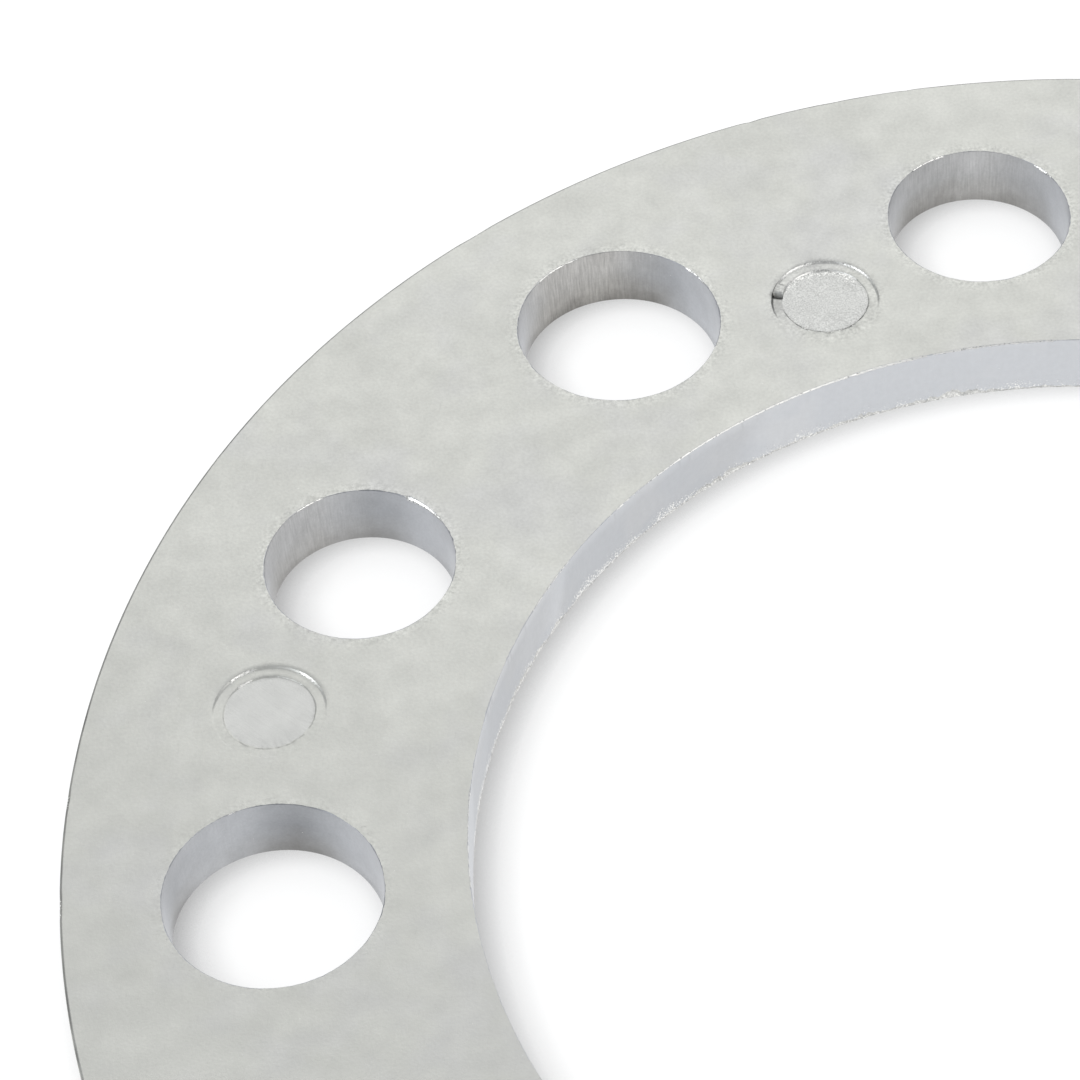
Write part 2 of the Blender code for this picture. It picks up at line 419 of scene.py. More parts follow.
# %% Make the rim
RIM_STEPS = 1080
RIM_EDGE = 0.24
RIM_TOP = RIM - THICKNESS * WALL_SLOPE
RIM_SHADE = 0.5      # how dark the rounded edge is painted, as a painted dark reflection
NICK_CELLS = 0.21    # noise cells per millimetre
seen_nicks = [(103.0, 0.7, 0.5), (92.9, 0.5, 0.35)]   # degrees, half length, share of the edge
rim_section = rounded(RIM, FOOT, RIM_EDGE, -1, -1, 2)[::-1]
rim_section.append(((RIM + RIM_TOP) / 2, (FOOT + TOP) / 2))
rim_section += rounded(RIM_TOP, TOP, RIM_EDGE, -1, 1, 3)
rim_band = turn_band(rim_section, RIM_STEPS, "tumbled_skin")
fresh_and_sheen, _, painted_shade_and_tone = point_values(rim_band)
for vert in rim_band.verts:
    share = 1 - (TOP - vert.co.z) / (RIM_EDGE * 1.5)
    if share < 0:
        continue
    place = Vector((vert.co.x, vert.co.y, 0))
    knock = max(0, noise.noise(place * NICK_CELLS) - 0.42) * 1.2
    for degrees, half, depth in seen_nicks:
        knock += depth * max(0, 1 - abs(bearing(place) - degrees) / half)
    ripple = 0.09 * noise.noise(place * COARSE) + 0.04 * noise.noise(place * FINE)
    vert.co.xy -= place.xy.normalized() * max(-0.01, (knock + ripple) * RIM_EDGE * share)
    if share < 0.99:
        vert[fresh_and_sheen] = min(0.5, knock * 2)
    if 0.5 < share < 0.99:
        vert[painted_shade_and_tone] = RIM_SHADE * (1 + 0.8 * noise.noise(place * COARSE))
join_band(shape, rim_band, AXIS)
print(f"with the rim: {len(shape.faces)} faces")

# %% [markdown]
# ## The marks of the ejector pins
#
# Each pin stands in a shallow recess, and its face has left a disc a little lower still. Each mark
# is a dish, spun from its edge to its middle. A table gives, for each circle of points, how much
# of the recess and of the step down to the pin it takes part in. How deep these are then depends
# on the angle, because no pin stands square: the recess runs out on its near side, and the step
# is broken where metal crept past the pin. The marks by the bore are deeper than those by the
# rim, so there are two sets of values. Arcs say where a wall or a step is rubbed bare. The bare
# metal there, and on the far side of the walls and the disc, is also painted bright as a highlight,
# and the near side of the step is painted dark as shade.
#
# In the first mark a flake of flash still bridges the recess, with a deep gutter beside it. It
# isn't a loose piece, so the floor of the dish is raised to make it.

# %% List the circles of a mark, and what differs by the bore and by the rim
PIN_RADIUS = 4
MARK_ROWS = [   # radius, share of the recess, share of the step
    (6.00, 0, 0), (5.45, 0, 0), (5.02, 0, 0), (5.00, 0.06, 0), (4.95, 0.33, 0), (4.89, 0.67, 0),
    (4.83, 0.94, 0), (4.79, 1, 0), (4.40, 1, 0), (4.10, 1, 0), (4.06, 1, 0.08), (4.01, 1, 0.5),
    (3.96, 1, 0.92), (3.92, 1, 1), (3.60, 1, 1), (2.60, 1, 1), (0, 1, 1)]
# the shine values and the arcs paint bare metal bright as a highlight; the step's dark value is painted
# shade on its near side
BY_BORE = {
    "recess": 0.004, "recess_fall": 0.176, "fall": (-0.45, 0.2), "crept": 0.25,
    "pin": 0.205, "pin_tilt": 0.13,
    "wall_shine": 0.3, "step_shine": 0.45, "disc_shine": 0.46, "step_shade": 0.9,
    "wall_arcs": [(97, 140, 0.95), (28, 69, 0.95)], "step_arcs": [(99, 152, 0.9), (34, 76, 0.9)],
}
BY_RIM = {
    "recess": 0.01, "recess_fall": 0.16, "fall": (-0.25, 0.6), "crept": 0.05,
    "pin": 0.115, "pin_tilt": 0.195,
    "wall_shine": 0, "step_shine": 0.1, "disc_shine": 0.1, "step_shade": 0.2,
    "wall_arcs": [(101, 134, 0.8), (32, 58, 0.8)], "step_arcs": [(109, 132, 0.9), (40, 50, 0.5)],
}


# %% Work out how deep a mark is at a place, and its painted highlight and painted shade
def eased(low, high, value):
    """Rise smoothly from 0 to 1 between two values."""
    share = min(1, max(0, (value - low) / (high - low)))
    return share * share * (3 - 2 * share)


def bare_and_highlight(arcs, degrees):
    """How bare the metal is at an angle, from a list of arcs, where it is also painted bright as a
    highlight.
    """
    return max((level * min(1, (degrees - start) / 4, (end - degrees) / 4)
                for start, end, level in arcs if start < degrees < end), default=0)


def mark_depths(kind, far_side, radius, place):
    """Depth of the recess and of the pin's disc. far_side runs from -1, nearest, to 1."""
    recess = kind["recess"] + kind["recess_fall"] * eased(*kind["fall"], far_side)
    if far_side < 0 and 4.02 < radius < 4.5:
        recess = max(0.002, recess - kind["crept"] * far_side * noise.noise(place * 1.6))
    pin = max(0.012, kind["pin"] + kind["pin_tilt"] * far_side * radius / PIN_RADIUS)
    return recess, pin


def mark_looks(kind, far_side, degrees, row, place):
    """How bare the metal of a mark is at a place, painted bright as a highlight, and how dark, as painted
    shade.
    """
    radius, recess_share, _ = row
    if 0 < recess_share < 1:
        return kind["wall_shine"] * eased(0, 0.3, far_side) + bare_and_highlight(kind["wall_arcs"], degrees), 0.0
    if 3.95 < radius < 4.08:
        shine = kind["step_shine"] * abs(far_side) + bare_and_highlight(kind["step_arcs"], degrees)
        patchy = max(0, 0.4 + 1.8 * noise.noise(place * 1.7))
        return shine, kind["step_shade"] * eased(-0.1, -0.5, far_side) * patchy
    if 3.5 < radius < 3.95:
        return kind["disc_shine"] * eased(0.1, 0.6, far_side), 0.0
    return 0.0, 0.0


for where, kind in (("bore", BY_BORE), ("rim", BY_RIM)):
    recess, pin = mark_depths(kind, 1, PIN_RADIUS, AXIS)
    print(f"far side of a mark by the {where}: recess {recess:.2f} mm deep, pin {pin:.2f} mm")


# %% Raise the flake of flash, sink the gap and the groove beside it, and paint shade in them
FLAKE_FROM, FLAKE_TO = 146, 160      # degrees round the first mark
GAP_TO, GAP_DEPTH = 166, 0.8
GROOVE_TO, GROOVE_DEPTH = 204, 0.22
FLAKE_END_DEPTH = 0.25               # where the flake stops short of the recess's wall


def with_flake(recess, mark_shade, degrees, row, place):
    """The depth and the painted shade of the first mark's recess, with the flake in it."""
    radius, recess_share, _ = row
    degrees += 2.5 * noise.noise(place * 1.9)
    groove = eased(FLAKE_TO, FLAKE_TO + 2, degrees) * (1 - eased(GAP_TO + 3, GROOVE_TO, degrees))
    gap = eased(FLAKE_TO, FLAKE_TO + 1.5, degrees) * (1 - eased(GAP_TO - 1, GAP_TO + 1.5, degrees))
    flake = eased(FLAKE_FROM - 2, FLAKE_FROM + 2, degrees) * (1 - eased(FLAKE_TO - 1, FLAKE_TO, degrees))
    lump = 0.03 + 0.16 * max(0, noise.noise(place * 2.3))
    at_wall = radius > 4.9
    recess += (GROOVE_DEPTH - recess) * groove
    recess += (GAP_DEPTH - recess) * gap
    recess += ((FLAKE_END_DEPTH if at_wall else lump) - recess) * flake
    # the gap, the groove and the flake's edge at the wall are painted dark, as painted shade
    mark_shade += 0.85 * gap + (0.6 * flake if at_wall else 0) + 0.25 * groove * (1 - gap)
    if 0 < recess_share < 1:
        mark_shade += 0.35 * groove
    return recess, mark_shade * min(1, recess_share * 10)


print(f"flake: {math.radians(FLAKE_TO - FLAKE_FROM) * PIN_RADIUS:.2f} mm wide at the pin")


# %% Make the pin marks
MARK_STEPS = 216
SEEN_FRECKLES = (1.0, 0.12)          # how roughed the first two marks are
for index, centre in enumerate(marks):
    kind = BY_RIM if index % 2 else BY_BORE
    freckling = SEEN_FRECKLES[index] if index < len(SEEN_FRECKLES) else draw.uniform(0.2, 0.9)
    band = turn_band([(radius, TOP) for radius, _, _ in MARK_ROWS], MARK_STEPS, "tumbled_skin")
    fresh_and_sheen, roughed, painted_shade_and_tone = point_values(band)
    for face in band.faces:
        if face.calc_center_median().xy.length < 3.93:
            face.material_index = FINISHES.index("pin_face")
    for vert in band.verts:
        distance = vert.co.xy.length
        row = min(MARK_ROWS, key=lambda entry: abs(entry[0] - distance))
        radius, recess_share, step_share = row
        away = vert.co.xy.normalized()
        place = vert.co + centre
        degrees = bearing(away)
        far_side = math.sin(math.radians(degrees))
        recess, pin = mark_depths(kind, far_side, radius, place)
        shine, mark_shade = mark_looks(kind, far_side, degrees, row, place)
        if index == 0 and radius > PIN_RADIUS:
            recess, mark_shade = with_flake(recess, mark_shade, degrees, row, place)
        depth = recess * recess_share * (1 - step_share) + pin * step_share
        # the shine is bare metal with a painted highlight, and the dark is painted shade
        vert[fresh_and_sheen], vert[painted_shade_and_tone] = min(0.95, shine), min(0.9, mark_shade)
        vert[roughed] = freckling * (1 - eased(5.0, 5.95, distance))
        ragged = 0.008 if step_share else 0.005
        if degrees > 180 or apart(degrees, 88) < 12:
            ragged *= 4
        if 3.8 < distance < 4.99:
            depth += ragged * noise.noise(place * FINE * 1.6)
            vert.co.xy += away * 1.3 * ragged * noise.noise(place * FINE)
        vert.co.z = TOP - max(0, depth)
    join_band(shape, band, centre)
print(f"with the marks: {len(shape.faces)} faces")

# %% [markdown]
# ## The two flat faces
#
# All the bands now end in loops of open edges, in the plane of the face or in the plane of the
# foot. triangle_fill spans a plane between such loops and leaves the holes open. The loops are
# marked sharp, so the faces stay optically flat up to their worn edges.

# %% Fill the faces between the bands
def fill_plane(shape, height, upward):
    """Close the skin in one plane, between all the loops that end there."""
    loops = [edge for edge in shape.edges
             if edge.is_boundary and all(abs(vert.co.z - height) < 0.001 for vert in edge.verts)]
    for edge in loops:
        edge.smooth = False
    filled = bmesh.ops.triangle_fill(shape, use_beauty=True, edges=loops, normal=(0, 0, upward))
    faces = [part for part in filled["geom"] if isinstance(part, bmesh.types.BMFace)]
    for face in faces:
        face.material_index = FINISHES.index("tumbled_skin")
    print(f"plane at {height:.2f} mm: {len(loops)} edges, {len(faces)} faces")


fill_plane(shape, TOP, 1)
fill_plane(shape, FOOT, -1)
bmesh.ops.recalc_face_normals(shape, faces=shape.faces)
open_edges = sum(1 for edge in shape.edges if not edge.is_manifold)
print(f"skin: {len(shape.faces)} faces, {open_edges} open edges, {shape.calc_volume() / 1000:.2f} cm3")

# %% Put the ring in the scene in place of its plain solid
bmesh.ops.scale(shape, verts=shape.verts, vec=(MM, MM, MM))
ring_mesh = bpy.data.meshes.new("cast_ring")
shape.to_mesh(ring_mesh)
shape.free()
ring = bpy.data.objects.new("cast_ring", ring_mesh)
bpy.context.scene.collection.objects.link(ring)
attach(ring, "root")
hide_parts("spacer_ring")
print(f"{ring.name} replaces spacer_ring")

# %% [markdown]
# ## Node groups that several finishes share
#
# The finishes differ, but they are made from a few effects: soft clouds of tone, fine lines,
# upright streaks, broken metal, and the distance to the nearest stud hole. Image textures would
# blur when the camera comes close and need a flat map of the skin. So each effect is worked out
# from the place on the object, as a node group with named inputs. It is built once and placed in
# each material with that finish's own values. Their lengths are in metres.

# %% Small helpers for node trees
def add(tree, kind, inputs=None, **settings):
    """Add a node. Inputs are given by name or number, as values or as sockets to link."""
    made = tree.nodes.new(kind)
    for name, value in settings.items():
        setattr(made, name, value)
    for name, value in (inputs or {}).items():
        if isinstance(value, bpy.types.NodeSocket):
            tree.links.new(value, made.inputs[name])
        else:
            made.inputs[name].default_value = value
    return made


def calculate(tree, operation, first, second=0.0, third=0.0, **settings):
    """Add a Math node and return what it works out."""
    inputs = {0: first, 1: second, 2: third}
    return add(tree, "ShaderNodeMath", inputs, operation=operation, **settings).outputs[0]


def times(tree, value, *factors):
    """Multiply a value by one factor after another."""
    for factor in factors:
        value = calculate(tree, "MULTIPLY", value, factor)
    return value


def split(tree, vector):
    """The three parts of a vector."""
    return add(tree, "ShaderNodeSeparateXYZ", {0: vector}).outputs


def joined(tree, x, y, z):
    """One vector from three parts."""
    return add(tree, "ShaderNodeCombineXYZ", {0: x, 1: y, 2: z}).outputs[0]


def ramp(tree, value, low, high, start=0.0, end=1.0):
    """Map a value from one range to another, held at its ends."""
    return add(tree, "ShaderNodeMapRange", {"Value": value, "From Min": low, "From Max": high,
                                            "To Min": start, "To Max": end}).outputs[0]


# %% Start a node group, and place one
NUMBER, VECTOR = "NodeSocketFloat", "NodeSocketVector"


def new_group(name, values, outputs):
    """Start a node group that reads a Vector and named values, and puts out numbers."""
    tree = bpy.data.node_groups.new(name, "ShaderNodeTree")
    tree.interface.new_socket("Vector", in_out="INPUT", socket_type=VECTOR)
    for label, value in values.items():
        tree.interface.new_socket(label, in_out="INPUT", socket_type=NUMBER).default_value = value
    for label in outputs:
        tree.interface.new_socket(label, in_out="OUTPUT", socket_type=NUMBER)
    return tree, tree.nodes.new("NodeGroupInput").outputs, tree.nodes.new("NodeGroupOutput").inputs


def use_group(tree, group, vector, **values):
    """Place a node group in a material and return its outputs."""
    return add(tree, "ShaderNodeGroup", {"Vector": vector, **values}, node_tree=group).outputs


def noise_pattern(tree, vector, scale, detail, roughness=0.5):
    """A noise texture's value at a place."""
    return add(tree, "ShaderNodeTexNoise", {"Vector": vector, "Scale": scale, "Detail": detail,
                                            "Roughness": roughness}).outputs[0]


def swung(tree, pattern, contrast):
    """A tone that swings round 1 as a pattern swings round a half."""
    swing = times(tree, calculate(tree, "SUBTRACT", pattern, 0.5), contrast)
    return calculate(tree, "ADD", swing, 1.0)


# %% Clouds of tone
clouds, given, result = new_group("clouds", {"Size": 0.01, "Contrast": 0.1, "Detail": 3.0},
                                  ["Tone", "Mask"])
cells = calculate(clouds, "DIVIDE", 1.0, given["Size"])
cloud = noise_pattern(clouds, given["Vector"], cells, given["Detail"], 0.55)
clouds.links.new(swung(clouds, cloud, given["Contrast"]), result["Tone"])
clouds.links.new(cloud, result["Mask"])
print(f"{clouds.name}: {len(clouds.nodes)} nodes")

# %% Fine lines: scratches, draw marks and grain, by how far the pattern is stretched
tree, given, result = new_group("fine_lines", {"Turn": 0.0, "Spacing": 0.0003, "Length": 0.006,
                                               "Cover": 0.3}, ["Mask", "Tone"])
turned = add(tree, "ShaderNodeVectorRotate", {"Vector": given["Vector"], "Angle": given["Turn"]},
             rotation_type="Z_AXIS").outputs[0]
x, y, z = split(tree, turned)
stretched = joined(tree, calculate(tree, "DIVIDE", x, given["Spacing"]),
                   calculate(tree, "DIVIDE", y, given["Length"]),
                   calculate(tree, "DIVIDE", z, given["Spacing"]))
lines = noise_pattern(tree, stretched, 1.0, 2.0)
edge = calculate(tree, "SUBTRACT", 0.75, times(tree, given["Cover"], 0.35))
tree.links.new(ramp(tree, lines, edge, calculate(tree, "ADD", edge, 0.06)), result["Mask"])
tree.links.new(lines, result["Tone"])
fine_lines = tree
print(f"{tree.name}: {len(tree.nodes)} nodes")

# %% Upright streaks on a wall: fine around it and long down it
tree, given, result = new_group("wall_streaks", {"Width": 0.0003, "Run": 0.01, "Contrast": 0.2},
                                ["Tone", "Height"])
x, y, z = split(tree, given["Vector"])
drawn_out = joined(tree, calculate(tree, "DIVIDE", x, given["Width"]),
                   calculate(tree, "DIVIDE", y, given["Width"]),
                   calculate(tree, "DIVIDE", z, given["Run"]))
streaks = noise_pattern(tree, drawn_out, 1.0, 4.0, 0.6)
tree.links.new(swung(tree, streaks, given["Contrast"]), result["Tone"])
tree.links.new(streaks, result["Height"])
wall_streaks = tree
print(f"{tree.name}: {len(tree.nodes)} nodes")

# %% [markdown]
# Where an edge is freshly broken, the metal is a crust of bare crumbs with dark gaps between
# them. The next group grows more crumbs the fresher the metal is, and its crust is highest where
# the break is only partial. The group after it folds the ring's twelve holes onto one pair, so
# that the distance to the nearest hole takes two measurements and not twelve.

# %% Broken metal: bare crumbs with dark gaps between them
tree, given, result = new_group("broken_metal", {"Fresh": 0.0, "Size": 0.00016},
                                ["Bare", "Gap", "Height"])
crumb = noise_pattern(tree, given["Vector"], calculate(tree, "DIVIDE", 1.0, given["Size"]), 1.5)
above = calculate(tree, "SUBTRACT", crumb, calculate(tree, "MULTIPLY_ADD", given["Fresh"], -0.5, 0.78))
tree.links.new(ramp(tree, above, 0.0, 0.05), result["Bare"])
hollow = ramp(tree, crumb, 0.38, 0.32)
tree.links.new(times(tree, hollow, given["Fresh"]), result["Gap"])
partly = times(tree, given["Fresh"], calculate(tree, "SUBTRACT", 1.15, given["Fresh"]))
tree.links.new(times(tree, crumb, partly), result["Height"])
broken_metal = tree
print(f"{tree.name}: {len(tree.nodes)} nodes")

# %% Distance to the edge of the nearest stud hole
tree, given, result = new_group("to_stud_hole", {}, ["Distance"])
x, y, _ = split(tree, given["Vector"])
flat = joined(tree, x, y, 0.0)
radius = add(tree, "ShaderNodeVectorMath", {0: flat}, operation="LENGTH").outputs["Value"]
angle = calculate(tree, "SUBTRACT", calculate(tree, "ARCTAN2", y, x), FIRST_HOLE)
folded = calculate(tree, "ABSOLUTE", calculate(tree, "WRAP", angle, HOLE_PITCH, -HOLE_PITCH))
place = joined(tree, times(tree, radius, calculate(tree, "COSINE", folded)),
               times(tree, radius, calculate(tree, "SINE", folded)), 0.0)
gaps = []
for angle_of_hole, hole_radius in zip((0, HOLE_PITCH), HOLE_RADII):
    middle = on_circle(STUD_CIRCLE, angle_of_hole) * MM
    away = add(tree, "ShaderNodeVectorMath", {0: place, 1: middle}, operation="DISTANCE").outputs["Value"]
    gaps.append(calculate(tree, "SUBTRACT", away, hole_radius * MM))
tree.links.new(calculate(tree, "MINIMUM", *gaps), result["Distance"])
to_stud_hole = tree
print(f"{tree.name}: {len(tree.nodes)} nodes")

# %% [markdown]
# ## The finishes
#
# Cast aluminium is a metal, so its colour lies in what it reflects. Metallic is 1, the base colour
# is the grey of the oxide skin, and roughness decides how wide the reflections blur. One grey all
# over would look like plastic, so each finish has a tone, patterns that swing round 1, which its
# colour is multiplied by. Every finish ends in break_up, which darkens it by the painted shade and
# dark tone in the points and lays broken metal over it where they are fresh, painted bright as a
# highlight on the marks' arcs.

# %% Start a metal
def new_metal(name, roughness):
    """A metal with a Principled surface, and the place on the object that its patterns read."""
    material = bpy.data.materials.new(name)
    material.use_nodes = True
    tree = material.node_tree
    surface = tree.nodes["Principled BSDF"]
    surface.inputs["Metallic"].default_value = 1.0
    surface.inputs["Roughness"].default_value = roughness
    where = add(tree, "ShaderNodeTexCoord").outputs["Object"]
    return material, tree, surface, where


def point_value(tree, name):
    """One of the values that the skin's points carry."""
    return add(tree, "ShaderNodeAttribute", attribute_name=name).outputs["Fac"]


def cloudy(tree, where, size, contrast=0.0, detail=3.0):
    """Clouds of a size: a tone round 1 and a mask."""
    return use_group(tree, clouds, where, Size=size, Contrast=contrast, Detail=detail)


# %% Work with colours and tones
def blend_colours(tree, mask, first, second):
    """Mix two colours by a mask."""
    mixed = add(tree, "ShaderNodeMix", {"Factor": mask, 6: first, 7: second}, data_type="RGBA")
    return mixed.outputs[2]


def tinted(tree, colour, tone):
    """A colour times a tone."""
    return add(tree, "ShaderNodeVectorMath", {0: colour, 3: tone}, operation="SCALE").outputs[0]


def laid_on(tree, tone, share, under=1.0):
    """Lay a tone on the one under it, as strongly as a share says."""
    return calculate(tree, "MULTIPLY_ADD", calculate(tree, "SUBTRACT", tone, 1.0), share, under)


# %% Break a finish up where the metal is fresh
# bare metal; on the marks' arcs it is also a painted highlight
BARE_AND_SHEEN = (0.90, 0.895, 0.87, 1)
DARK_GAP = (0.34, 0.34, 0.33, 1)


def break_up(tree, surface, where, colour, roughness, height_mm, crumbly=0.0):
    """Lay painted shade, dark tone and broken metal, painted bright on the marks' arcs, over a finish,
    and link it to its surface.
    """
    fresh_and_sheen = calculate(tree, "MAXIMUM", point_value(tree, "fresh_metal_and_sheen"), crumbly)
    # the points' dark value is painted shade on the hole walls, the rim's edge and the marks, and tone on
    # the bore
    undarkened = calculate(tree, "SUBTRACT", 1.0, point_value(tree, "painted_shade_and_tone"))
    crumbs = use_group(tree, broken_metal, where, Fresh=fresh_and_sheen)
    colour = blend_colours(tree, crumbs["Bare"], tinted(tree, colour, undarkened), BARE_AND_SHEEN)
    colour = blend_colours(tree, crumbs["Gap"], colour, DARK_GAP)
    roughness = calculate(tree, "MULTIPLY_ADD", crumbs["Bare"], -0.12, roughness)
    height = calculate(tree, "MULTIPLY_ADD", crumbs["Height"], 0.12, height_mm)
    bump = add(tree, "ShaderNodeBump", {"Height": height, "Distance": MM, "Strength": 1.0})
    tree.links.new(colour, surface.inputs["Base Color"])
    tree.links.new(roughness, surface.inputs["Roughness"])
    tree.links.new(bump.outputs[0], surface.inputs["Normal"])


# %% [markdown]
# ### The tumbled skin
#
# Tumbling in grit leaves the flat faces and the rim matt. The tone has wide and small clouds and
# a fine grain, which is stronger on the half of the ring away from the camera, and the colour
# turns a faint lilac in patches. Fine scratches and small pits lie on top, with more pits close
# to the holes. Round the holes and the marks the grain is stirred up into light and dark specks.

# %% The tumbled skin: its clouds, patches and grain
SKIN = (0.640, 0.641, 0.610, 1)
LILAC = (0.622, 0.620, 0.618, 1)
skin, tree, surface, where = new_metal("tumbled_skin", 0.45)
wide = cloudy(tree, where, 0.018, 0.16)
small = cloudy(tree, where, 0.0030, 0.035, 5.0)
grain = cloudy(tree, where, 0.00030, 0.25)
patches = cloudy(tree, where, 0.011)
colour = blend_colours(tree, ramp(tree, patches["Mask"], 0.5, 0.68, 0.0, 0.6), SKIN, LILAC)
_, across, _ = split(tree, where)
cloudy_across = calculate(tree, "MULTIPLY_ADD", wide["Mask"], 0.02, across)
rough_half = ramp(tree, cloudy_across, 0.005, 0.045, 0.3, 1.0)
tone = times(tree, wide["Tone"], small["Tone"], laid_on(tree, grain["Tone"], rough_half))

# %% Its stirred metal round the holes and the marks
hole_gap = use_group(tree, to_stud_hole, where)["Distance"]
by_mark = point_value(tree, "roughed")
by_hole = times(tree, ramp(tree, hole_gap, 0.0, 0.0016, 1.0, 0.0), rough_half)
specks = cloudy(tree, where, 0.00026, 0.9, 2.0)["Tone"]
rubbed = cloudy(tree, where, 0.0009, 0.30, 2.0)["Tone"]
stir = calculate(tree, "SUBTRACT", times(tree, specks, rubbed), 0.985)
tone = calculate(tree, "MULTIPLY_ADD", stir, calculate(tree, "MULTIPLY_ADD", by_mark, 0.7, by_hole), tone)
tone = calculate(tree, "MULTIPLY_ADD", by_mark, -0.03, tone)

# %% Its scratches and pits
scratches = use_group(tree, fine_lines, where, Turn=0.2, Spacing=0.00022, Length=0.0016, Cover=0.30)
pits = cloudy(tree, where, 0.00042, 0.0, 2.0)
pit_places = cloudy(tree, where, 0.006)
near_hole = ramp(tree, hole_gap, 0.0002, 0.0012, 1.0, 0.0)
halo = times(tree, near_hole, ramp(tree, small["Mask"], 0.44, 0.60))
pit_share = calculate(tree, "MULTIPLY_ADD", ramp(tree, pit_places["Mask"], 0.58, 0.72), 0.12, halo)
pitted = times(tree, ramp(tree, pits["Mask"], 0.60, 0.70), pit_share)
tone = calculate(tree, "MULTIPLY_ADD", scratches["Mask"], -0.03, tone)
tone = calculate(tree, "MULTIPLY_ADD", pitted, -0.09, tone)
height = times(tree, calculate(tree, "MULTIPLY_ADD", pitted, -1.0, grain["Mask"]), 0.010)
roughness = ramp(tree, small["Mask"], 0.3, 0.7, 0.49, 0.42)
break_up(tree, surface, where, tinted(tree, colour, tone), roughness, height)
print(f"{skin.name}: {len(tree.nodes)} nodes")

# %% [markdown]
# ### The cored walls of the stud holes
#
# A core slides along its wall as it is pulled. Where it dragged, it left upright streaks and a
# warmer, rougher metal. There, and where the points carry painted shade, the wall is painted darker
# towards the foot and a little lighter near the top, as painted shade, with a painted shadow line at
# the foot, and it turns warmer near the foot. The rest of the wall is smooth and cool. Height above
# the foot and the two values in the points steer all of it.

# %% The cored walls: painted shade and a warmer tint at the foot
SMOOTH_WALL = (0.466, 0.480, 0.506, 1)
DRAGGED_WALL = (0.484, 0.476, 0.462, 1)
WARM_WALL = (0.478, 0.462, 0.436, 1)
cored, tree, surface, where = new_metal("cored_wall", 0.36)
drag = point_value(tree, "roughed")
patches = cloudy(tree, where, 0.003, 0.30)
_, _, above_foot = split(tree, where)
uneven = calculate(tree, "MULTIPLY_ADD", patches["Mask"], 0.003, above_foot)
# the dragged metal and the points' painted shade decide where the foot is painted dark
drag_and_shade = calculate(tree, "MULTIPLY_ADD", point_value(tree, "painted_shade_and_tone"), 2.0, drag, use_clamp=True)
# painted shade: darker towards the foot and a little lighter near the top, with a painted shadow line at
# the foot
foot_shade = calculate(tree, "MULTIPLY_ADD", ramp(tree, uneven, 0.0020, 0.0070, -0.26, 0.10), drag_and_shade, 1.0)
foot_shadow_line = times(tree, ramp(tree, uneven, 0.0012, 0.0030, 0.26, 0.0), drag_and_shade)
foot_shade = calculate(tree, "SUBTRACT", foot_shade, foot_shadow_line)
warm = times(tree, ramp(tree, uneven, 0.0016, 0.0050, 1.0, 0.0), drag_and_shade)
colour = blend_colours(tree, warm, blend_colours(tree, drag, SMOOTH_WALL, DRAGGED_WALL), WARM_WALL)

# %% The cored walls: streaks and grit
fine = use_group(tree, wall_streaks, where, Width=0.00016, Run=0.0025, Contrast=0.90)
broad = use_group(tree, wall_streaks, where, Width=0.0022, Run=0.008, Contrast=0.16)
grit = cloudy(tree, where, 0.00022, 0.22, 2.0)["Tone"]
streaks = times(tree, laid_on(tree, fine["Tone"], drag), broad["Tone"])
tone = times(tree, streaks, patches["Tone"], foot_shade, grit)
height = times(tree, fine["Height"], drag, 0.03)
roughness = ramp(tree, drag, 0.0, 1.0, 0.32, 0.44)
break_up(tree, surface, where, tinted(tree, colour, tone), roughness, height)
print(f"{cored.name}: {len(tree.nodes)} nodes")

# %% [markdown]
# ### The sheared wall of the bore
#
# The punch slid along some stretches and scraped others, so the wall has two cool greys in soft
# zones. Low on the wall the shear already starts to tear: the lower a place is, the more broken
# metal shows, with an uneven upper limit.

# %% The sheared wall of the bore
SMOOTH_ZONE = (0.612, 0.626, 0.650, 1)
SCRAPED_ZONE = (0.668, 0.677, 0.694, 1)
sheared, tree, surface, where = new_metal("sheared_bore", 0.5)
zones = cloudy(tree, where, 0.012, 0.05, 2.5)
fine = cloudy(tree, where, 0.0005, 0.10)
upright = use_group(tree, wall_streaks, where, Width=0.0006, Run=0.004, Contrast=0.05)
colour = blend_colours(tree, ramp(tree, zones["Mask"], 0.48, 0.55), SMOOTH_ZONE, SCRAPED_ZONE)
tone = times(tree, fine["Tone"], upright["Tone"])
torn_places = cloudy(tree, where, 0.0022)
_, _, above_foot = split(tree, where)
uneven = calculate(tree, "MULTIPLY_ADD", torn_places["Mask"], -0.0032, above_foot)
uneven = calculate(tree, "MULTIPLY_ADD", point_value(tree, "painted_shade_and_tone"), -0.004, uneven)
crumbly = ramp(tree, uneven, -0.0018, -0.0001, 0.60, 0.0)
height = times(tree, calculate(tree, "ADD", fine["Mask"], upright["Height"]), 0.008)
roughness = ramp(tree, zones["Mask"], 0.48, 0.55, 0.46, 0.56)
break_up(tree, surface, where, tinted(tree, colour, tone), roughness, height, crumbly)
print(f"{sheared.name}: {len(tree.nodes)} nodes")

# %% [markdown]
# ### The torn lip and the faces of the pins
#
# The lip is crumbled metal with no skin, so clouds of one small size are enough under its broken
# crust. The pins were filed flat by hand, and the casting has copied the file's lines. Where metal
# was roughed by the pin, the disc is freckled with light and dark specks.

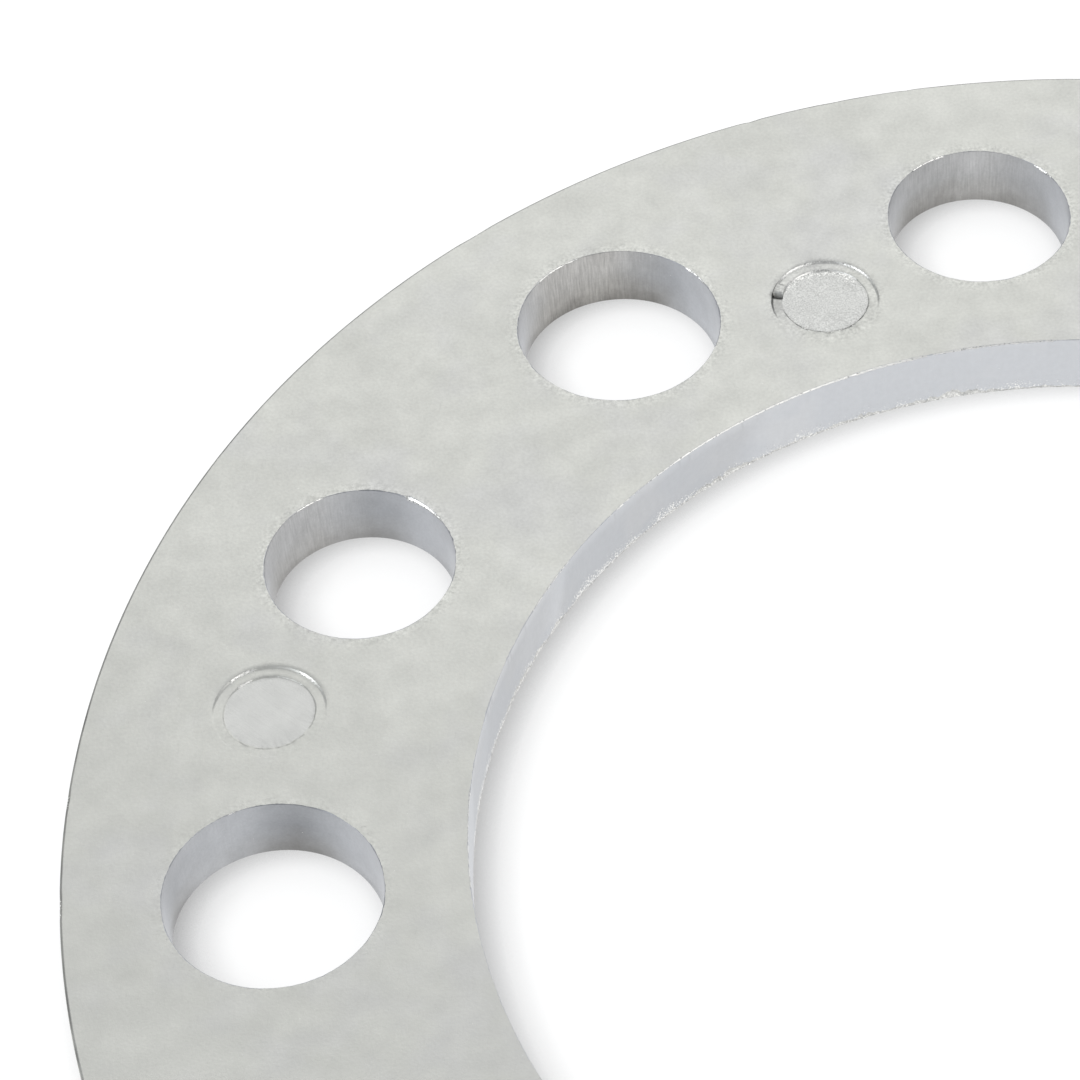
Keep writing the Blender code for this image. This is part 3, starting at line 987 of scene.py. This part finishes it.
# %% The torn lip
TORN = (0.66, 0.66, 0.645)
torn, tree, surface, where = new_metal("torn_lip", 0.45)
crumbs = cloudy(tree, where, 0.0003, 0.4, 2.0)
roughness = ramp(tree, crumbs["Mask"], 0.3, 0.7, 0.52, 0.40)
height = times(tree, crumbs["Mask"], 0.04)
break_up(tree, surface, where, tinted(tree, TORN, crumbs["Tone"]), roughness, height)
print(f"{torn.name}: {len(tree.nodes)} nodes")

# %% The faces of the pins
PIN_GREY = (0.625, 0.626, 0.612)
pin_face, tree, surface, where = new_metal("pin_face", 0.42)
filed = use_group(tree, fine_lines, where, Turn=-0.75, Spacing=0.00016, Length=0.003, Cover=0.5)
freckles = cloudy(tree, where, 0.00014, 0.9, 1.0)
soft = cloudy(tree, where, 0.0022, 0.18, 2.0)
freckled = point_value(tree, "roughed")
tone = laid_on(tree, freckles["Tone"], freckled, soft["Tone"])
tone = calculate(tree, "MULTIPLY_ADD", filed["Mask"], -0.06, tone)
spots = times(tree, freckles["Mask"], freckled)
height = calculate(tree, "MULTIPLY_ADD", spots, 0.012, times(tree, filed["Tone"], 0.004))
roughness = ramp(tree, filed["Tone"], 0.3, 0.7, 0.46, 0.40)
break_up(tree, surface, where, tinted(tree, PIN_GREY, tone), roughness, height)
print(f"{pin_face.name}: {len(tree.nodes)} nodes")

# %% Give each band its finish
for material in (skin, cored, sheared, torn, pin_face):      # in the order of FINISHES
    ring_mesh.materials.append(material)
print("finishes:", ", ".join(material.name for material in ring_mesh.materials))

# %% [markdown]
# ## The table
#
# The ring lies on white paper. A white floor that only reflects would need so much light that the
# metal clips. So the floor is grey, and it also glows for the camera and for reflections, which
# brings it up to white with no extra light on the metal.
#
# A glow has no shadow, and the paper inside the holes is a little darker where the walls hide the
# sky. So the glow is multiplied by Ambient Occlusion, taken twice: over 6 mm for the wide shade
# and over 2.2 mm for the dark line at a wall. Both look along a direction that leans to the left,
# because the photograph's shade is deepest at the foot of the walls on that side.

# %% Lay the floor
floor_shape = bmesh.new()
bmesh.ops.create_grid(floor_shape, x_segments=8, y_segments=8, size=2.5)
bmesh.ops.translate(floor_shape, verts=floor_shape.verts, vec=(0, 0, (FOOT - 0.02) * MM))
floor_mesh = bpy.data.meshes.new("floor")
floor_shape.to_mesh(floor_mesh)
floor_shape.free()
floor = bpy.data.objects.new("floor", floor_mesh)
bpy.context.scene.collection.objects.link(floor)
print(f"{floor.name}: {len(floor_mesh.polygons)} faces")

# %% Make it white, with soft shade at the foot of each wall
FLOOR_GLOW = 0.85
PAPER = (0.32, 0.32, 0.32, 1)
white = bpy.data.materials.new("white_table")
white.use_nodes = True
tree = white.node_tree
tree.nodes.clear()
lean = joined(tree, -0.47, -0.12, 0.87)


def open_sky(reach):
    """How much of the sky is open at a place on the floor, as far as a reach in millimetres."""
    inputs = {"Distance": reach * MM, "Normal": lean}
    return add(tree, "ShaderNodeAmbientOcclusion", inputs, samples=4).outputs["AO"]


wide_shade = ramp(tree, open_sky(6.0), -0.3, 0.8)
wall_line = ramp(tree, open_sky(2.2), -1.2, 1.0)
shade = times(tree, wide_shade, wall_line)
ray = add(tree, "ShaderNodeLightPath").outputs
direct = times(tree, ray["Is Camera Ray"], shade)
mirrored = calculate(tree, "MAXIMUM", ray["Is Glossy Ray"], ray["Is Transmission Ray"])
glow = times(tree, calculate(tree, "MAXIMUM", direct, mirrored), FLOOR_GLOW)
paper = add(tree, "ShaderNodeBsdfDiffuse", {"Color": PAPER}).outputs[0]
light = add(tree, "ShaderNodeEmission", {"Color": (1, 1, 1, 1), "Strength": glow}).outputs[0]
both = add(tree, "ShaderNodeAddShader", {0: paper, 1: light}).outputs[0]
add(tree, "ShaderNodeOutputMaterial", {"Surface": both})
floor_mesh.materials.append(white)
print(f"{floor.name}: {white.name}, {len(tree.nodes)} nodes")

# %% [markdown]
# ## The light and the camera
#
# A metal shows what stands around it, so the room gives it an even grey. Two soft boxes stand left
# and right of the camera. Their reflections are the bright arcs on the far edges of the holes, and
# the gap between them leaves those edges dark in the middle. A larger box behind the ring gives
# the flat face its tone. The lamps are no brighter than this, or the face clips in low views.
#
# The camera's place, turn and lens come from the outlines of the holes, the bore and the rim in
# the photograph: with the right ones, circles of the right sizes land on those outlines.

# %% Light the room evenly
world = bpy.data.worlds.new("studio")
bpy.context.scene.world = world
world.use_nodes = True
room = world.node_tree.nodes["Background"]
room.inputs["Color"].default_value = (0.96, 0.98, 1.0, 1)
room.inputs["Strength"].default_value = 0.51
print(f"world: {world.name}")


# %% Set up the soft boxes
def soft_box(name, place, width, height, radiance, colour):
    """A rectangular area lamp that looks at the ring, as bright as asked from every side."""
    lamp = bpy.data.lights.new(name, "AREA")
    lamp.shape = "RECTANGLE"
    lamp.size = width
    lamp.size_y = height
    lamp.energy = radiance * math.pi * width * height
    lamp.color = colour
    holder = bpy.data.objects.new(name, lamp)
    holder.location = place
    holder.rotation_euler = (-Vector(place)).to_track_quat("-Z", "Y").to_euler()
    bpy.context.scene.collection.objects.link(holder)
    print(f"{name}: {lamp.energy:.2f} W")


soft_box("box_left", (-0.93, -0.27, 0.44), 0.80, 0.70, 1.7, (0.94, 0.97, 1.0))
soft_box("box_right", (0.82, -0.55, 0.52), 0.80, 0.70, 1.4, (1.0, 0.985, 0.96))
soft_box("box_behind", (0.15, 0.95, 0.95), 1.30, 0.90, 0.9, (1.0, 1.0, 0.98))

# %% Place the camera as the photograph was taken
PITCH = 49.894       # degrees below level
ROLL = -4.621
HEADING = -1.405
CAMERA_PLACE = (-50.46, -211.06, 299.21)
SENSOR, LENS = 36, 143.95
lens_box = bpy.data.cameras.new("camera")
lens_box.sensor_width = SENSOR
lens_box.lens = LENS
lens_box.clip_start = 0.02
lens_box.clip_end = 20
camera = bpy.data.objects.new("camera", lens_box)
turned = Matrix.Rotation(math.radians(HEADING), 4, "Z")
turned @= Matrix.Rotation(math.radians(90 - PITCH), 4, "X")
turned @= Matrix.Rotation(math.radians(ROLL), 4, "Z")
camera.matrix_world = Matrix.Translation([part * MM for part in CAMERA_PLACE]) @ turned
bpy.context.scene.collection.objects.link(camera)
bpy.context.scene.camera = camera
bpy.context.scene.view_settings.view_transform = "Standard"
print(f"camera {Vector(CAMERA_PLACE).length:.0f} mm from the ring's middle")
